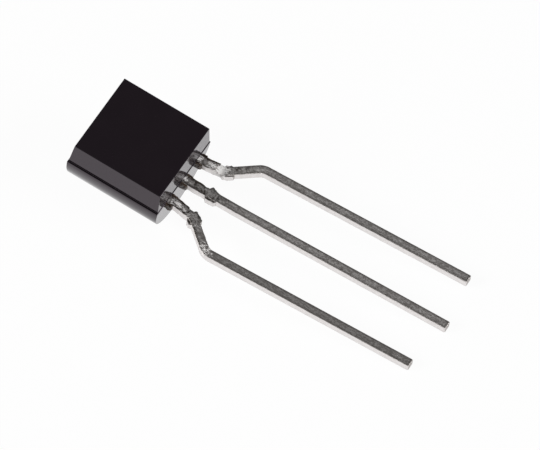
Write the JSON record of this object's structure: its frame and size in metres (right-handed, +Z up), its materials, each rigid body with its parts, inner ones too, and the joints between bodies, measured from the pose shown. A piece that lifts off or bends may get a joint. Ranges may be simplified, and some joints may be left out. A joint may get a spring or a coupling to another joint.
{
  "type": "voltage regulator",
  "caption": "Small voltage regulator: half-round black moulded body with a flat face and flat tinned leads, the outer ones splayed to a wider pitch.",
  "frame": {"origin": "on the table under the middle of the bounding box, with the part lying on its round back and the tip of its middle lead", "axes": "+X along the table from the body towards the lead tips, +Y towards the input lead, +Z up from the table; the flat face looks up, tipped towards the tips"},
  "size_m": [0.0186, 0.0056, 0.0046],
  "materials": {
    "resin": "filled black epoxy moulding compound, smooth and slightly glossy from the mould",
    "tinned_lead": "matt tin plate over a sheared copper-alloy or steel strip",
    "solder": "soft solder",
    "silicon": "silicon",
    "gold_wire": "drawn gold wire"
  },
  "bodies": {
    "root": {"body": "resin", "lead_output": "tinned_lead", "lead_ground": "tinned_lead", "lead_input": "tinned_lead", "die_attach": "solder", "die": "silicon", "wire_output": "gold_wire", "wire_input": "gold_wire"}
  },
  "joints": []
}
